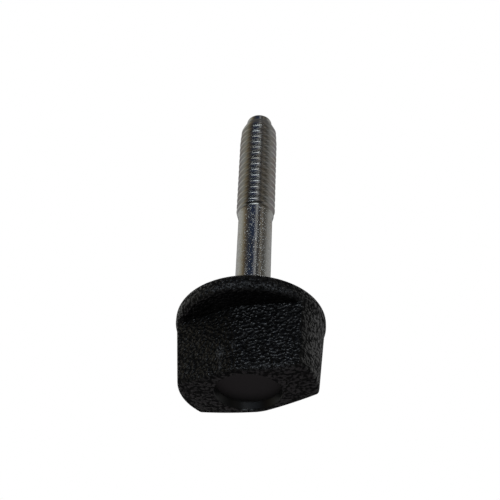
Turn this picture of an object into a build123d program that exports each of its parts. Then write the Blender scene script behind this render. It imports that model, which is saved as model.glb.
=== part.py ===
from build123d import *
import math
import os

# Clamping knob for a filter housing: a black moulded grip with two offset wings under a
# round flange, and a long steel stud moulded into it. Millimetres. Z runs along the stud,
# z = 0 is the level that the grip stands on, and the stud's tip points up.

# Round recess in the end of the grip
recess_radius = 4.95
recess_depth = 1.3
recess_draft = 10.0

# Grip: its outline at z = 0, before the edges are rounded
boss_wall = 1.05
wing_radius = 10.08
wing_count = 2
lead_face_angle = -99.0
trail_face_angle = 59.0
grip_height = 13.1
draft_angle = 4.7
crown_radius = 70.0
end_edge_radius = 0.65
wing_corner_radius = 0.6
grip_top_edge_radius = 0.6

# Flange between the grip and the stud
flange_radius = 11.17
flange_thickness = 2.9
flange_lower_edge = 0.9
flange_upper_edge = 1.4
flange_above_grip = 0.1

# Stud, from its moulded-in head to its dog point
stud_length = 51.2
stud_cover = 1.9
head_radius = 4.0
head_height = 4.2
head_chamfer = 0.4
flute_count = 12
flute_radius = 0.55
shank_radius = 2.73
runout_length = 1.5
thread_radius = 3.125
thread_length = 15.3
easing_length = 2.7
easing_radius = 2.97
lead_length = 1.4
lead_radius = 2.35
dog_radius = 2.12
dog_length = 1.3
dog_edge_radius = 0.35

# The grip is moulded around the stud, so nothing is left between them
moulded_clearance = 0.0

# Sizes and places that follow from the ones above
boss_radius = recess_radius + boss_wall
flange_top = grip_height + flange_above_grip
flange_bottom = flange_top - flange_thickness
stud_base = recess_depth + stud_cover
tip_height = stud_base + stud_length
dog_base = tip_height - dog_length
lead_base = dog_base - lead_length
easing_base = lead_base - easing_length
thread_base = easing_base - thread_length
shank_top = thread_base - runout_length
head_top = stud_base + head_height


def polar(radius, angle):
    """Point at a radius and an angle in degrees, measured from +X."""
    turn = math.radians(angle)
    return (radius * math.cos(turn), radius * math.sin(turn))


def grip_outline():
    """Boss circle with its wings, each between two straight faces that touch the boss."""
    reach = math.degrees(math.acos(boss_radius / wing_radius))
    lead_corner = lead_face_angle + reach
    trail_corner = trail_face_angle - reach
    step = 360.0 / wing_count
    edges = []
    for number in range(wing_count):
        turn = number * step
        lead = lead_face_angle + turn
        trail = trail_face_angle + turn
        wing_start = lead_corner + turn
        wing_end = trail_corner + turn
        edges.append(Line(polar(boss_radius, lead), polar(wing_radius, wing_start)))
        edges.append(CenterArc((0, 0), wing_radius, wing_start, wing_end - wing_start))
        edges.append(Line(polar(wing_radius, wing_end), polar(boss_radius, trail)))
        edges.append(CenterArc((0, 0), boss_radius, trail, lead + step - trail))
    return make_face(Wire(edges))


def is_wing_corner(edge):
    """True for the edges that run up the outer corners of a wing."""
    ends = edge.vertices()
    heights = [end.Z for end in ends]
    reach = min(math.hypot(end.X, end.Y) for end in ends)
    return max(heights) - min(heights) > grip_height / 2 and reach > (boss_radius + wing_radius) / 2


def crown():
    """Ball that rounds the grip's end, touching z = 0 along the recess's rim."""
    centre = math.sqrt(crown_radius ** 2 - recess_radius ** 2)
    return Pos(0, 0, centre) * Rot(0, -90, 0) * Sphere(crown_radius)


def wings():
    """Boss and wings, wider towards the flange by the draft, with rounded edges."""
    body = extrude(grip_outline(), amount=grip_height, taper=-draft_angle)
    corners = [edge for edge in body.edges() if is_wing_corner(edge)]
    body = fillet(corners, wing_corner_radius)
    body = body & crown()
    end_edges = [edge for edge in body.edges() if edge.center().Z < grip_height / 4]
    body = fillet(end_edges, end_edge_radius)
    top_edges = body.faces().sort_by(Axis.Z)[-1].edges()
    return fillet(top_edges, grip_top_edge_radius)


def round_rims(solid):
    """Circular edges of a solid, from the lowest to the highest."""
    return solid.edges().filter_by(GeomType.CIRCLE).sort_by(Axis.Z)


def flange():
    """Round flange with a rounded rim."""
    middle = (flange_bottom + flange_top) / 2
    disc = Pos(0, 0, middle) * Cylinder(flange_radius, flange_thickness)
    disc = fillet(round_rims(disc)[0], flange_lower_edge)
    return fillet(round_rims(disc)[-1], flange_upper_edge)


def turned(profile):
    """Solid turned about Z from half a section, given as radius and height pairs."""
    outline = [(0, profile[0][1])] + profile + [(0, profile[-1][1])]
    face = make_face(Polyline([(radius, 0, height) for radius, height in outline], close=True))
    return revolve(face, Axis.Z)


def stud_head(clearance=0):
    """Fluted head that keeps the stud from turning or pulling out of the grip."""
    radius = head_radius + clearance
    profile = [
        (radius - head_chamfer, stud_base - clearance),
        (radius, stud_base - clearance + head_chamfer),
        (radius, head_top + clearance - head_chamfer),
        (radius - head_chamfer, head_top + clearance),
    ]
    head = turned(profile)
    for number in range(flute_count):
        x, y = polar(radius, number * 360.0 / flute_count)
        flute = Pos(x, y, (stud_base + head_top) / 2) * Cylinder(flute_radius, 2 * head_height)
        head = head - flute
    return head


def stud_body():
    """Shank, thread, tapered start and dog point, with the thread as its outer cylinder."""
    profile = [
        (shank_radius, stud_base),
        (shank_radius, shank_top),
        (thread_radius, thread_base),
        (thread_radius, easing_base),
        (easing_radius, lead_base),
        (lead_radius, dog_base),
        (dog_radius, dog_base),
        (dog_radius, tip_height),
    ]
    body = turned(profile)
    return fillet(round_rims(body)[-1], dog_edge_radius)


def stud():
    """Whole steel stud as one solid."""
    return stud_body() + stud_head()


def stud_pocket():
    """Room that the stud takes up inside the grip."""
    shank = Cylinder(shank_radius + moulded_clearance, 2 * (flange_top - stud_base))
    return stud_head(moulded_clearance) + Pos(0, 0, flange_top) * shank


def recess():
    """Round recess in the grip's end, narrower towards its floor by its own draft."""
    flare = recess_depth * math.tan(math.radians(recess_draft))
    return Cone(recess_radius + flare, recess_radius - flare, 2 * recess_depth)


def grip():
    """Whole moulded grip, with its flange, its recess and the stud's place in it."""
    moulding = wings() + flange()
    return moulding - stud_pocket() - recess()


os.makedirs("parts", exist_ok=True)
export_step(grip(), "parts/grip.step")
export_step(stud(), "parts/stud.step")
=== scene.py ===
import math

import bmesh
import bpy
from mathutils import Matrix, Vector


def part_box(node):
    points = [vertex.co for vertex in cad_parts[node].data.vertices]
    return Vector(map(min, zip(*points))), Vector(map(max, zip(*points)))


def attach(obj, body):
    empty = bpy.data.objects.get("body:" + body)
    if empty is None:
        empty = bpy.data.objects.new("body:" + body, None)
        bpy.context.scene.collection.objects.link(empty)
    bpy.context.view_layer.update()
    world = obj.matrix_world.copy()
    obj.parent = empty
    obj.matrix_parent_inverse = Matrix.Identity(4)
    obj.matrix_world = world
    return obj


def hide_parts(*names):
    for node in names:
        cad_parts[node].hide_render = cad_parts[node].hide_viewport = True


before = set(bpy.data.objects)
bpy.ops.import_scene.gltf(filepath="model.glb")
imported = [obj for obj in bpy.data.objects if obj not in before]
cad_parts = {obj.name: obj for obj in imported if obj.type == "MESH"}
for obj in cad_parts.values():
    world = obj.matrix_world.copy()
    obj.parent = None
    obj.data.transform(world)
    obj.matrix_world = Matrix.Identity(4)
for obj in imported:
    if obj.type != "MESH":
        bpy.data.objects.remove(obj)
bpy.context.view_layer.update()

mm = 0.001


class Wire:
    # One output in a node tree. Sums written on it add Math nodes.
    def __init__(self, maker, socket):
        self.maker = maker
        self.socket = socket

    def math(self, operation, *others):
        sockets = dict(enumerate((self,) + others))
        return self.maker.node("ShaderNodeMath", {"operation": operation}, sockets)

    def __add__(self, other):
        return self.math("ADD", other)

    def __radd__(self, other):
        return self.math("ADD", other)

    def __sub__(self, other):
        return self.math("SUBTRACT", other)

    def __rsub__(self, other):
        return (self * -1) + other

    def __mul__(self, other):
        return self.math("MULTIPLY", other)

    def __rmul__(self, other):
        return self.math("MULTIPLY", other)

    def __truediv__(self, other):
        return self.math("DIVIDE", other)

    def __pow__(self, other):
        return self.math("POWER", other)

    def least(self, other):
        return self.math("MINIMUM", other)

    def most(self, other):
        return self.math("MAXIMUM", other)

    def size(self):
        return self.math("ABSOLUTE")

    def ramp(self, low, high):  # 0 up to low, 1 from high on, smooth between
        sockets = {"Value": self, "From Min": low, "From Max": high}
        settings = {"interpolation_type": "SMOOTHSTEP"}
        return self.maker.node("ShaderNodeMapRange", settings, sockets)


class NodeMaker:
    def __init__(self, tree):
        self.tree = tree

    def node(self, kind, settings=None, sockets=None, out=0):
        # Settings first, because they change which sockets a node has
        made = self.tree.nodes.new(kind)
        for name, value in (settings or {}).items():
            if name == "stops":
                self.setStops(made.color_ramp, value)
            else:
                setattr(made, name, value)
        for key, value in (sockets or {}).items():
            if isinstance(value, Wire):
                self.tree.links.new(value.socket, made.inputs[key])
            else:
                made.inputs[key].default_value = value
        return Wire(self, made.outputs[out]) if made.outputs else None

    def setStops(self, ramp, stops):
        while len(ramp.elements) < len(stops):
            ramp.elements.new(1.0)
        for element, (place, colour) in zip(ramp.elements, stops):
            element.position = place
            element.color = colour


def newMaterial(name):
    material = bpy.data.materials.new(name)
    material.use_nodes = True
    tree = material.node_tree
    tree.nodes.clear()
    return material, NodeMaker(tree)


def finishMaterial(maker, shader):
    maker.node("ShaderNodeOutputMaterial", {}, {"Surface": shader})


def mix(maker, factor, first, second):
    settings = {"data_type": "RGBA"}
    return maker.node("ShaderNodeMix", settings, {"Factor": factor, 6: first, 7: second}, 2)


def noise(maker, place, scale, detail, out="Fac"):
    sockets = {"Vector": place, "Scale": scale, "Detail": detail}
    return maker.node("ShaderNodeTexNoise", {}, sockets, out)


def bumped(maker, height, distance):
    sockets = {"Height": height, "Distance": distance, "Strength": 1.0}
    return maker.node("ShaderNodeBump", {}, sockets)


def link(thing):
    bpy.context.collection.objects.link(thing)


# Moulded grip: the CAD node keeps its shape and gets its grain here

gripLook = {
    "colour": (0.0036, 0.0036, 0.0040, 1.0),
    "paleColour": (0.0075, 0.0070, 0.0072, 1.0),
    # Light grey of the scuffs, partly wear and partly painted highlight, and of the painted
    # highlight on the flange's lower edge
    "scuffAndHighlightColour": (0.085, 0.087, 0.093, 1.0),
    "floorColour": (0.0145, 0.0125, 0.0135, 1.0),
    "roughness": 0.22,
    "creviceRoughness": 0.45,
    "floorRoughness": 0.55,
    "wallRoughness": 0.28,
    "specular": 0.37,
    # Painted shade in the grain's creases: its colour, and how strongly it is mixed in
    "creaseShadeColour": (0.0022, 0.0022, 0.0024, 1.0),
    "creaseShadeStrength": 0.72,
    "creaseRange": (0.30, 0.55),  # how far from the middle of a cell its crease begins and is full
    "wallLean": 0.36,
    "grainSize": 0.42 * mm,
    "grainDepth": 0.11 * mm,
    "grainShape": (0.95, 0.95, 1.15),  # cells for each grain size along the axes
    "grainBend": 1.2,  # in grain sizes
    "cellRise": 3.0,
    "swellRise": 0.6,
    "patchRise": 0.3,
    "patchRange": (0.44, 0.60),
    "cloudScale": 260.0,
    "cloudRange": (0.45, 0.75),
    "recessRadius": 4.98 * mm,
    "recessDepth": 1.3 * mm,
    "recessBlend": 0.08 * mm,
    # Scuffs, painted light grey partly as wear and partly as highlight on the ridge and the lower
    # front edge: middle and half size in millimetres, and how strong
    "scuffAndHighlightPatches": [
        ((-4.1, -4.9, 3.6), (0.75, 0.9, 1.2), 1.0),
        ((-4.0, -4.7, 1.5), (0.25, 0.9, 1.1), 0.7),
        ((-2.2, -5.9, 4.0), (0.45, 0.9, 0.8), 0.5),
        ((3.0, -6.6, 0.40), (4.2, 1.1, 0.50), 0.7),
    ],
    # Painted highlight along the lower edge of the flange, on its two wide sides
    "rimRadius": 10.95 * mm,
    "rimHeight": 10.95 * mm,
    "rimHighlightStrength": 0.60,
    "rimReach": (0.75 * mm, 0.2 * mm),  # painted highlight full within the second, none beyond the first
    "rimSides": (7.5 * mm, 10.5 * mm),  # only this far out towards the two wide sides
}


# Mask of the light-grey patches: partly wear, partly painted highlight
def scuffAndHighlightMask(maker, place, scuffAndHighlightPatches):
    total = None
    for middle, half, strength in scuffAndHighlightPatches:
        inverse = [1 / (extent * mm) for extent in half]
        shift = [-centre / extent for centre, extent in zip(middle, half)]
        settings = {"operation": "MULTIPLY_ADD"}
        local = maker.node("ShaderNodeVectorMath", settings, {0: place, 1: inverse, 2: shift})
        away = maker.node("ShaderNodeVectorMath", {"operation": "LENGTH"}, {0: local}, "Value")
        mask = away.ramp(1.1, 0.5) * strength
        total = mask if total is None else total.most(mask)
    return total


def makePlastic(look):
    material, maker = newMaterial("mouldedPlastic")
    place = maker.node("ShaderNodeTexCoord", {}, {}, "Object")
    axes = maker.node("ShaderNodeSeparateXYZ", {}, {0: place})
    x, y, z = [Wire(maker, socket) for socket in axes.socket.node.outputs]
    outwards = (x * x + y * y) ** 0.5
    depth, blend = look["recessDepth"], look["recessBlend"]
    smooth = outwards.ramp(look["recessRadius"], look["recessRadius"] - blend)
    smooth = smooth * z.ramp(depth + 0.2 * mm, depth + 0.1 * mm)
    flatFloor = smooth * z.ramp(depth - blend, depth - blend / 2)

    # Leather grain: bent cells with rounded tops and soft creases, on a slow swell
    scale = 1 / look["grainSize"]
    warp = noise(maker, place, scale * 0.7, 1.0, "Color")
    half = (0.5, 0.5, 0.5)
    centred = maker.node("ShaderNodeVectorMath", {"operation": "SUBTRACT"}, {0: warp, 1: half})
    reach = look["grainBend"] * look["grainSize"]
    push = maker.node("ShaderNodeVectorMath", {"operation": "SCALE"}, {0: centred, "Scale": reach})
    bent = maker.node("ShaderNodeVectorMath", {"operation": "ADD"}, {0: place, 1: push})
    shaped = maker.node("ShaderNodeMapping", {}, {"Vector": bent, "Scale": look["grainShape"]})
    settings = {"feature": "SMOOTH_F1"}
    sockets = {"Vector": shaped, "Scale": scale}
    cells = maker.node("ShaderNodeTexVoronoi", settings, sockets, "Distance")
    swell = noise(maker, place, scale * 0.45, 1.0)
    fine = noise(maker, place, scale * 1.6, 3.0)
    # Painted highlight: the lower edge of the flange is lightened on both wide sides, in the same
    # light grey as the scuffs
    besideRim = ((outwards - look["rimRadius"]) ** 2 + (z - look["rimHeight"]) ** 2) ** 0.5
    rimPaintedHighlight = besideRim.ramp(*look["rimReach"]) * y.size().ramp(*look["rimSides"])
    wearAndHighlight = scuffAndHighlightMask(maker, place, look["scuffAndHighlightPatches"]).most(rimPaintedHighlight * look["rimHighlightStrength"])
    wearAndHighlight = wearAndHighlight * fine.ramp(*look["patchRange"])
    grain = swell * look["swellRise"] - cells * cells * look["cellRise"]
    lean = smooth * (1 - flatFloor) * z * (look["wallLean"] / look["grainDepth"])
    height = grain * (1 - smooth) + wearAndHighlight * look["patchRise"] + lean
    bump = bumped(maker, height, look["grainDepth"])
    crevice = cells.ramp(*look["creaseRange"])

    clouds = noise(maker, place, look["cloudScale"], 3.0)
    paleness = clouds.ramp(*look["cloudRange"]) * 0.5
    colour = mix(maker, paleness, look["colour"], look["paleColour"])
    # Painted highlight and wear: the patches and the flange's lower edge turn light grey
    colour = mix(maker, wearAndHighlight, colour, look["scuffAndHighlightColour"])
    colour = mix(maker, flatFloor, colour, look["floorColour"])
    rougher = look["creviceRoughness"] - look["roughness"]
    grained = look["roughness"] + crevice * rougher + (clouds - 0.5) * 0.1
    moulded = look["wallRoughness"] + flatFloor * (look["floorRoughness"] - look["wallRoughness"])
    shader = maker.node("ShaderNodeBsdfPrincipled", {}, {
        "Base Color": colour,
        "Roughness": grained + smooth * (moulded - grained),
        "Specular IOR Level": look["specular"],
        "Normal": bump,
    })
    # Painted shade: deep in the creases the shader is mixed towards a near-black diffuse, standing
    # in for the shade the grain's bumps don't cast
    sockets = {"Color": look["creaseShadeColour"], "Normal": bump}
    paintedCreaseShade = maker.node("ShaderNodeBsdfDiffuse", {}, sockets)
    creaseShadeAmount = crevice * (1 - smooth) * (1 - wearAndHighlight * 0.6) * look["creaseShadeStrength"]
    mixed = maker.node("ShaderNodeMixShader", {}, {0: creaseShadeAmount, 1: shader, 2: paintedCreaseShade})
    finishMaterial(maker, mixed)
    return material


print("grip: moulded plastic")
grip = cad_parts["grip"]
grip.data.materials.clear()
grip.data.materials.append(makePlastic(gripLook))


# Steel stud: a turned core with a fluted head, and a rolled thread wound on it

studSizes = {
    "base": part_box("stud")[0].z,
    "tip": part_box("stud")[1].z,
    "headRadius": 4.0 * mm,
    "headHeight": 4.2 * mm,
    "headChamfer": 0.4 * mm,
    "flutes": 12,
    "fluteRadius": 0.55 * mm,
    "shankRadius": 2.73 * mm,
    "crestRadius": 3.125 * mm,
    "rootRadius": 2.47 * mm,
    "threadLength": 15.3 * mm,
    "runoutLength": 1.5 * mm,
    "shoulderRadius": 2.93 * mm,
    "easingLength": 2.7 * mm,
    "easingRadius": 2.97 * mm,
    "leadLength": 1.4 * mm,
    "leadRadius": 2.35 * mm,
    "dogLength": 1.3 * mm,
    "dogRadius": 2.12 * mm,
    "dogEdge": 0.38 * mm,
    "dogEdgeSteps": 6,
    "pitch": 1.27 * mm,
    "crestBelowTip": 3.72 * mm,
    "crestFlat": 0.26 * mm,
    "crestRound": 0.07 * mm,
    "rootRound": 0.12 * mm,
    "ridgeAngle": 30,  # each flank, from square to the axis
    "ridgeSink": 0.01 * mm,  # how far the ridge's foot lies under the core's surface
    "ridgeStop": 0.55 * mm,  # below the dog point
    "trim": 0.012 * mm,
    "fadeLength": 0.95 * mm,
    "fadePart": 0.4,  # of the lead, where the core meets its cone
    "sides": 128,
    "stepsPerTurn": 96,
}

studLook = {
    "colour": (0.56, 0.56, 0.55, 1.0),
    "warmColour": (0.50, 0.46, 0.40, 1.0),
    "roughness": 0.13,
    "threadExtra": 0.05,
    "shankTop": 32.8 * mm,
    "reliefDepth": 0.012 * mm,
    "specks": 2.0,
    "speckScale": 4200.0,
    "speckRange": (0.57, 0.66),
    "streakScale": 5200.0,
    "streakShape": (1.0, 1.0, 0.12),  # drawn out along the stud
    "cloudScale": 420.0,
    "cloudRange": (0.42, 0.72),
    "unevenness": 0.12,
}


def fluteAt(sizes, angle):  # how far a head's flute cuts in at an angle
    step = 2 * math.pi / sizes["flutes"]
    off = (angle + step / 2) % step - step / 2
    side = sizes["headRadius"] * math.sin(off)
    if abs(side) >= sizes["fluteRadius"]:
        return 0.0
    return math.sqrt(sizes["fluteRadius"] ** 2 - side ** 2)


def studHeights(sizes):
    heights = {"headTop": sizes["base"] + sizes["headHeight"]}
    heights["dogBase"] = sizes["tip"] - sizes["dogLength"]
    heights["leadBase"] = heights["dogBase"] - sizes["leadLength"]
    heights["easingBase"] = heights["leadBase"] - sizes["easingLength"]
    heights["threadBase"] = heights["easingBase"] - sizes["threadLength"]
    heights["shankTop"] = heights["threadBase"] - sizes["runoutLength"]
    return heights


def coreRows(sizes, heights):
    # Half a section from the base to the tip: radius, height, and whether flutes cut it
    base, top = sizes["base"], heights["headTop"]
    chamfer, edge = sizes["headChamfer"], sizes["dogEdge"]
    part = sizes["fadePart"]
    fadeRadius = sizes["easingRadius"] + (sizes["leadRadius"] - sizes["easingRadius"]) * part
    rows = [
        (sizes["headRadius"] - chamfer, base, True),
        (sizes["headRadius"], base + chamfer, True),
        (sizes["headRadius"], top - chamfer, True),
        (sizes["headRadius"] - chamfer, top, True),
        (sizes["shankRadius"], top, False),
        (sizes["shankRadius"], heights["shankTop"], False),
        (sizes["shoulderRadius"], heights["shankTop"] + sizes["runoutLength"] / 2, False),
        (sizes["rootRadius"], heights["threadBase"] + 0.3 * mm, False),
        (sizes["rootRadius"], heights["leadBase"] - sizes["fadeLength"], False),
        (fadeRadius, heights["leadBase"] + sizes["leadLength"] * part, False),
        (sizes["leadRadius"], heights["dogBase"], False),
        (sizes["dogRadius"], heights["dogBase"] + 0.1 * mm, False),
    ]
    for number in range(sizes["dogEdgeSteps"] + 1):
        turn = math.pi / 2 * number / sizes["dogEdgeSteps"]
        radius = sizes["dogRadius"] - edge + edge * math.cos(turn)
        rows.append((radius, sizes["tip"] - edge + edge * math.sin(turn), False))
    return rows


def makeCore(sizes, heights):
    rows = coreRows(sizes, heights)
    sides = sizes["sides"]
    vertices, faces = [], []
    for radius, height, fluted in rows:
        for number in range(sides):
            angle = 2 * math.pi * number / sides
            reach = radius - (fluteAt(sizes, angle) if fluted else 0.0)
            vertices.append((reach * math.cos(angle), reach * math.sin(angle), height))
    for row in range(len(rows) - 1):
        for number in range(sides):
            after = (number + 1) % sides
            low, high = row * sides, (row + 1) * sides
            faces.append((low + number, low + after, high + after, high + number))
    faces.append(tuple(reversed(range(sides))))
    faces.append(tuple(range((len(rows) - 1) * sides, len(rows) * sides)))
    mesh = bpy.data.meshes.new("studCore")
    mesh.from_pydata(vertices, [], faces)
    return mesh


def makeBar(sizes, turns):
    # A straight closed bar with the section of one thread ridge: X counts turns, Y runs up
    # the stud, Z is the height over the crest radius
    flat, bevel = sizes["crestFlat"] / 2, sizes["crestRound"]
    depth = sizes["crestRadius"] - sizes["rootRadius"] + sizes["ridgeSink"]
    slope = math.tan(math.radians(sizes["ridgeAngle"]))
    foot = flat + depth * slope
    rising = [
        (foot + sizes["rootRound"], -depth),
        (foot + sizes["rootRound"] * 0.35, -0.93 * depth),
    ]
    for part in (0.8, 0.6, 0.4, 0.25):
        rising.append((flat + part * depth * slope, -part * depth))
    corner = flat + bevel * 0.55
    rising += [
        (corner, -bevel * 0.55),
        (corner - bevel * 0.35, -bevel * 0.2),
        (flat * 0.5, -bevel * 0.03),
    ]
    falling = [(-across, height) for across, height in reversed(rising)]
    section = rising + [(0.0, 0.0)] + falling
    rows, count = round(turns * sizes["stepsPerTurn"]), len(section)
    vertices, faces = [], []
    for row in range(rows + 1):
        vertices += [(turns * row / rows, across, height) for across, height in section]
    for row in range(rows):
        for number in range(count):
            after = (number + 1) % count
            low, high = row * count, (row + 1) * count
            faces.append((low + number, low + after, high + after, high + number))
    faces.append(tuple(reversed(range(count))))
    faces.append(tuple(range(rows * count, (rows + 1) * count)))
    mesh = bpy.data.meshes.new("threadBar")
    mesh.from_pydata(vertices, [], faces)
    bar = bpy.data.objects.new("threadBar", mesh)
    link(bar)
    return bar


def threadTree(material):
    # Winds the bar into a right-handed helix and trims it to the outline of the stud
    names = (
        "Pitch", "Start height", "Crest radius", "Shank radius", "Easing radius", "Lead radius",
        "Shank top", "Thread base", "Easing base", "Lead base", "Dog base", "Trim",
    )
    tree = bpy.data.node_groups.new("woundThread", "GeometryNodeTree")
    tree.interface.new_socket("Bar", in_out="INPUT", socket_type="NodeSocketGeometry")
    inputs = {}
    number = "NodeSocketFloat"
    for name in names:
        socket = tree.interface.new_socket(name, in_out="INPUT", socket_type=number)
        inputs[name] = socket.identifier
    tree.interface.new_socket("Thread", in_out="OUTPUT", socket_type="NodeSocketGeometry")
    maker = NodeMaker(tree)
    entry = tree.nodes.new("NodeGroupInput")
    value = {name: Wire(maker, entry.outputs[name]) for name in names}

    def between(height, low, high, first, second):
        return maker.node("ShaderNodeMapRange", {}, {
            "Value": height, "From Min": value[low], "From Max": value[high],
            "To Min": value[first], "To Max": value[second],
        })

    place = maker.node("GeometryNodeInputPosition")
    split = maker.node("ShaderNodeSeparateXYZ", {}, {0: place}).socket.node
    turns, across, over = [Wire(maker, socket) for socket in split.outputs]
    angle = turns * (2 * math.pi)
    height = value["Start height"] + turns * value["Pitch"] + across
    runout = between(height, "Shank top", "Thread base", "Shank radius", "Crest radius")
    easing = between(height, "Easing base", "Lead base", "Crest radius", "Easing radius")
    lead = between(height, "Lead base", "Dog base", "Easing radius", "Lead radius")
    outline = runout.least(easing + lead - value["Easing radius"]) - value["Trim"]
    radius = (value["Crest radius"] + over).least(outline)
    moved = maker.node("ShaderNodeCombineXYZ", {}, {
        0: radius * angle.math("COSINE"), 1: radius * angle.math("SINE"), 2: height,
    })
    bar = Wire(maker, entry.outputs["Bar"])
    shaped = maker.node("GeometryNodeSetPosition", {}, {"Geometry": bar, "Position": moved})
    real = maker.node("GeometryNodeRealizeInstances", {}, {"Geometry": shaped})
    painted = maker.node("GeometryNodeSetMaterial", {}, {"Geometry": real, "Material": material})
    maker.node("NodeGroupOutput", {}, {0: painted})
    return tree, inputs


def makeSteel(look):
    material, maker = newMaterial("brightSteel")
    place = maker.node("ShaderNodeTexCoord", {}, {}, "Object")
    split = maker.node("ShaderNodeSeparateXYZ", {}, {0: place}).socket.node
    height = Wire(maker, split.outputs["Z"])
    rolled = height.ramp(look["shankTop"] - 0.3 * mm, look["shankTop"] + 0.3 * mm)
    sockets = {"Vector": place, "Scale": look["streakShape"]}
    stretched = maker.node("ShaderNodeMapping", {}, sockets)
    streaks = noise(maker, stretched, look["streakScale"], 2.0)
    clouds = noise(maker, place, look["cloudScale"], 4.0)
    specks = noise(maker, place, look["speckScale"], 3.0).ramp(*look["speckRange"])
    warmth = clouds.ramp(*look["cloudRange"]) * 0.8
    colour = mix(maker, warmth, look["colour"], look["warmColour"])
    uneven = (clouds - 0.5) * look["unevenness"] + (streaks - 0.5) * look["unevenness"]
    roughness = look["roughness"] + uneven + rolled * look["threadExtra"]
    relief = (streaks * 0.5 + specks * look["specks"]) * (1 - rolled)
    bump = bumped(maker, relief, look["reliefDepth"])
    shader = maker.node("ShaderNodeBsdfPrincipled", {}, {
        "Base Color": colour,
        "Metallic": 1.0,
        "Roughness": roughness,
        "Normal": bump,
    })
    finishMaterial(maker, shader)
    return material


def makeStud(sizes, look):
    heights = studHeights(sizes)
    steel = makeSteel(look)
    # Turns are counted from +X, where one crest stands at a set distance under the tip
    crest = sizes["tip"] - sizes["crestBelowTip"]
    below = math.floor((crest - heights["shankTop"]) / sizes["pitch"] + 0.4)
    start = crest - below * sizes["pitch"]
    turns = (heights["dogBase"] - sizes["ridgeStop"] - start) / sizes["pitch"]
    bar = makeBar(sizes, turns)
    tree, inputs = threadTree(steel)
    winder = bar.modifiers.new("woundThread", "NODES")
    winder.node_group = tree
    values = {
        "Pitch": sizes["pitch"],
        "Start height": start,
        "Crest radius": sizes["crestRadius"],
        "Shank radius": sizes["shankRadius"],
        "Easing radius": sizes["easingRadius"],
        "Lead radius": sizes["leadRadius"],
        "Shank top": heights["shankTop"],
        "Thread base": heights["threadBase"],
        "Easing base": heights["easingBase"],
        "Lead base": heights["leadBase"],
        "Dog base": heights["dogBase"],
        "Trim": sizes["trim"],
    }
    for name, value in values.items():
        winder[inputs[name]] = value
    wound = bar.evaluated_get(bpy.context.evaluated_depsgraph_get())
    thread = bpy.data.meshes.new_from_object(wound)
    bpy.data.objects.remove(bar)

    joined = bmesh.new()
    joined.from_mesh(makeCore(sizes, heights))
    joined.from_mesh(thread)
    bmesh.ops.recalc_face_normals(joined, faces=joined.faces)
    mesh = bpy.data.meshes.new("steelStud")
    joined.to_mesh(mesh)
    joined.free()
    mesh.materials.append(steel)
    mesh.shade_smooth()
    mesh.set_sharp_from_angle(angle=math.radians(38))
    stud = bpy.data.objects.new("steelStud", mesh)
    link(stud)
    return stud


print("stud: turned core and wound thread")
stud = makeStud(studSizes, studLook)
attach(stud, "root")
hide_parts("stud")


# Stage: a pale floor that is seen from above only, and soft light

stageLook = {
    "floorColour": (0.80, 0.79, 0.77, 1.0),
    "floorGlow": 0.40,
    "floorSize": 12.0,
    "background": (1.0, 1.0, 1.0, 1.0),
    # Bands fade in between two heights of a unit direction, and backSide between two depths
    "lowerDarkness": 0.40,
    "lowerBand": (0.0, -0.5),
    "lowerColour": (0.25, 0.222, 0.238, 1.0),
    "backBand": (-0.2, -0.55),
    "backSide": (0.2, 0.7),
    "ceilingColour": (0.10, 0.10, 0.10, 1.0),
    "ceilingBand": (0.78, 0.93),
    # The room around the object, from behind past the left, the front and the right to behind
    "room": [
        (-180, (0.08, 0.08, 0.08)),
        (-158, (0.22, 0.22, 0.21)),
        (-140, (0.47, 0.47, 0.46)),
        (-102, (0.46, 0.46, 0.43)),
        (-86, (0.36, 0.35, 0.29)),
        (-69, (0.20, 0.16, 0.10)),
        (-53, (0.07, 0.062, 0.052)),
        (-30, (0.029, 0.040, 0.068)),
        (-4, (0.022, 0.032, 0.064)),
        (3, (0.22, 0.23, 0.26)),
        (12, (0.38, 0.38, 0.37)),
        (19, (0.040, 0.042, 0.050)),
        (29, (0.07, 0.066, 0.06)),
        (42, (0.22, 0.20, 0.17)),
        (56, (0.085, 0.08, 0.07)),
        (72, (0.13, 0.13, 0.12)),
        (92, (0.32, 0.32, 0.31)),
        (115, (0.40, 0.40, 0.39)),
        (140, (0.42, 0.42, 0.42)),
        (156, (0.16, 0.16, 0.16)),
        (180, (0.08, 0.08, 0.08)),
    ],
}

# Panels: the direction they lie in, their distance, width and height, and watts
lamps = {
    "overhead": {
        "towards": (0.2, 0.3, 1.0), "distance": 0.5, "size": (0.5, 0.5), "watts": 1.0,
        "colour": (1.0, 1.0, 1.0), "mirrored": False,
    },
    "frontLevel": {
        "towards": (-0.13, -0.975, -0.17), "distance": 0.5, "size": (0.55, 0.14), "watts": 0.95,
        "colour": (0.84, 0.93, 1.0), "mirrored": True,
    },
    "frontLow": {
        "towards": (0.02, -0.72, -0.69), "distance": 0.45, "size": (0.20, 0.10), "watts": 0.06,
        "colour": (0.93, 0.97, 1.0), "mirrored": True,
    },
}


def makeFloor(look):
    material, maker = newMaterial("paleFloor")
    back = maker.node("ShaderNodeNewGeometry", {}, {}, "Backfacing")
    paint = maker.node("ShaderNodeBsdfPrincipled", {}, {
        "Base Color": look["floorColour"],
        "Roughness": 0.8,
        "Emission Color": look["floorColour"],
        "Emission Strength": look["floorGlow"],
    })
    clear = maker.node("ShaderNodeBsdfTransparent")
    shader = maker.node("ShaderNodeMixShader", {}, {0: back, 1: paint, 2: clear})
    finishMaterial(maker, shader)
    half = look["floorSize"] / 2
    mesh = bpy.data.meshes.new("floor")
    corners = [(-half, -half, 0), (half, -half, 0), (half, half, 0), (-half, half, 0)]
    mesh.from_pydata(corners, [], [(0, 1, 2, 3)])
    mesh.materials.append(material)
    floor = bpy.data.objects.new("floor", mesh)
    link(floor)
    floor.visible_shadow = False
    floor.visible_diffuse = False
    floor.visible_glossy = False


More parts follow.
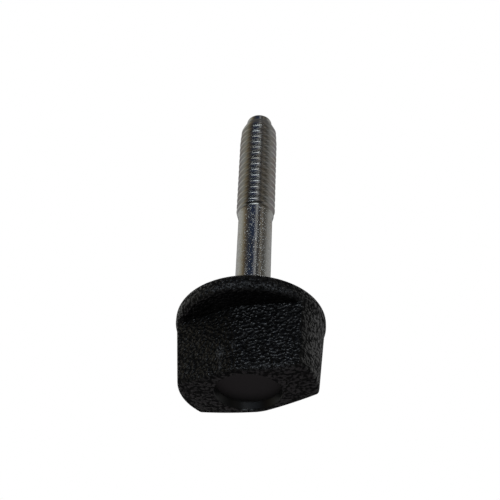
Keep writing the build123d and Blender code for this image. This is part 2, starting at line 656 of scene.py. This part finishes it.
def makeSky(look):
    world = bpy.data.worlds.new("studio")
    world.use_nodes = True
    world.node_tree.nodes.clear()
    maker = NodeMaker(world.node_tree)
    direction = maker.node("ShaderNodeTexCoord", {}, {}, "Generated")
    split = maker.node("ShaderNodeSeparateXYZ", {}, {0: direction}).socket.node
    x, y, z = [Wire(maker, socket) for socket in split.outputs]
    turn = x.math("ARCTAN2", y * -1) / (2 * math.pi) + 0.5
    stops = [((azimuth + 180) / 360, colour + (1.0,)) for azimuth, colour in look["room"]]
    paint = maker.node("ShaderNodeValToRGB", {"stops": stops}, {"Fac": turn})
    black = (0.0, 0.0, 0.0, 1.0)
    paint = mix(maker, z.ramp(*look["lowerBand"]) * look["lowerDarkness"], paint, black)
    behind = z.ramp(*look["backBand"]) * y.ramp(*look["backSide"])
    paint = mix(maker, behind, paint, look["lowerColour"])
    paint = mix(maker, z.ramp(*look["ceilingBand"]), paint, look["ceilingColour"])
    room = maker.node("ShaderNodeBackground", {}, {"Color": paint, "Strength": 1.0})
    sockets = {"Color": look["background"], "Strength": 1.0}
    seen = maker.node("ShaderNodeBackground", {}, sockets)
    ray = maker.node("ShaderNodeLightPath", {}, {}, "Is Camera Ray")
    shader = maker.node("ShaderNodeMixShader", {}, {0: ray, 1: room, 2: seen})
    maker.node("ShaderNodeOutputWorld", {}, {"Surface": shader})
    bpy.context.scene.world = world


def makeLamp(name, look):
    # A soft panel that faces a point in the grip
    middle = Vector((0, 0, 12 * mm))
    direction = Vector(look["towards"]).normalized()
    data = bpy.data.lights.new(name, "AREA")
    data.shape = "RECTANGLE"
    data.size, data.size_y = look["size"]
    data.energy = look["watts"]
    data.color = look["colour"]
    lamp = bpy.data.objects.new(name, data)
    lamp.location = middle + direction * look["distance"]
    lamp.rotation_mode = "QUATERNION"
    lamp.rotation_quaternion = direction.to_track_quat("Z", "Y")
    lamp.visible_camera = False
    lamp.visible_glossy = look["mirrored"]
    link(lamp)


cameraPlace = {
    "aim": (-0.64 * mm, 0.0, 26.0 * mm),
    "azimuth": 1.606,
    "elevation": -38.712,
    "roll": 2.567,
    "distance": 167.24 * mm,
    "lens": 76.42,
}


def makeCamera(place):
    azimuth, elevation = math.radians(place["azimuth"]), math.radians(place["elevation"])
    level = math.cos(elevation)
    across, away = math.sin(azimuth) * level, -math.cos(azimuth) * level
    back = Vector((across, away, math.sin(elevation)))
    data = bpy.data.cameras.new("camera")
    data.lens = place["lens"]
    data.sensor_width = 36.0
    data.clip_start = 0.01
    camera = bpy.data.objects.new("camera", data)
    roll = Matrix.Rotation(math.radians(place["roll"]), 4, "Z")
    turn = back.to_track_quat("Z", "Y").to_matrix().to_4x4() @ roll
    stand = Matrix.Translation(Vector(place["aim"]) + back * place["distance"])
    camera.matrix_world = stand @ turn
    link(camera)
    bpy.context.scene.camera = camera


print("stage: floor, light and camera")
makeFloor(stageLook)
makeSky(stageLook)
for name, look in lamps.items():
    makeLamp(name, look)
makeCamera(cameraPlace)
bpy.context.scene.view_settings.view_transform = "Standard"
